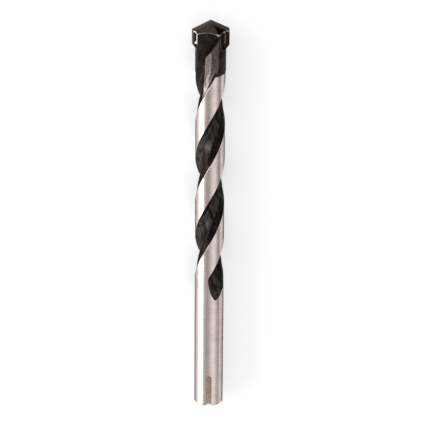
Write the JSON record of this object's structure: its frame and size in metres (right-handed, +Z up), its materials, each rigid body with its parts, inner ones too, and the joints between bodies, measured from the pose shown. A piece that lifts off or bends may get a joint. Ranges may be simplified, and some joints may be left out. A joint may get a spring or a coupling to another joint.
{
  "type": "masonry drill bit",
  "caption": "Straight masonry drill bit with a round grooved shank, helical flutes and a brazed carbide plate tip.",
  "frame": {"origin": "centre of the shank's end face, on the bit's axis", "axes": "+Y along the bit's axis from the shank to the tip, +Z up from the surface the bit lies on, +X across"},
  "size_m": [0.0124, 0.136, 0.01],
  "materials": {
    "ground_steel": "ground lands and shank, black flutes and head",
    "carbide": "ground sintered carbide, satin grey brown",
    "braze": "bright pale braze metal"
  },
  "bodies": {
    "root": {"drill_body": "ground_steel", "carbide_tip": "carbide", "braze_seam": "braze"}
  },
  "joints": []
}
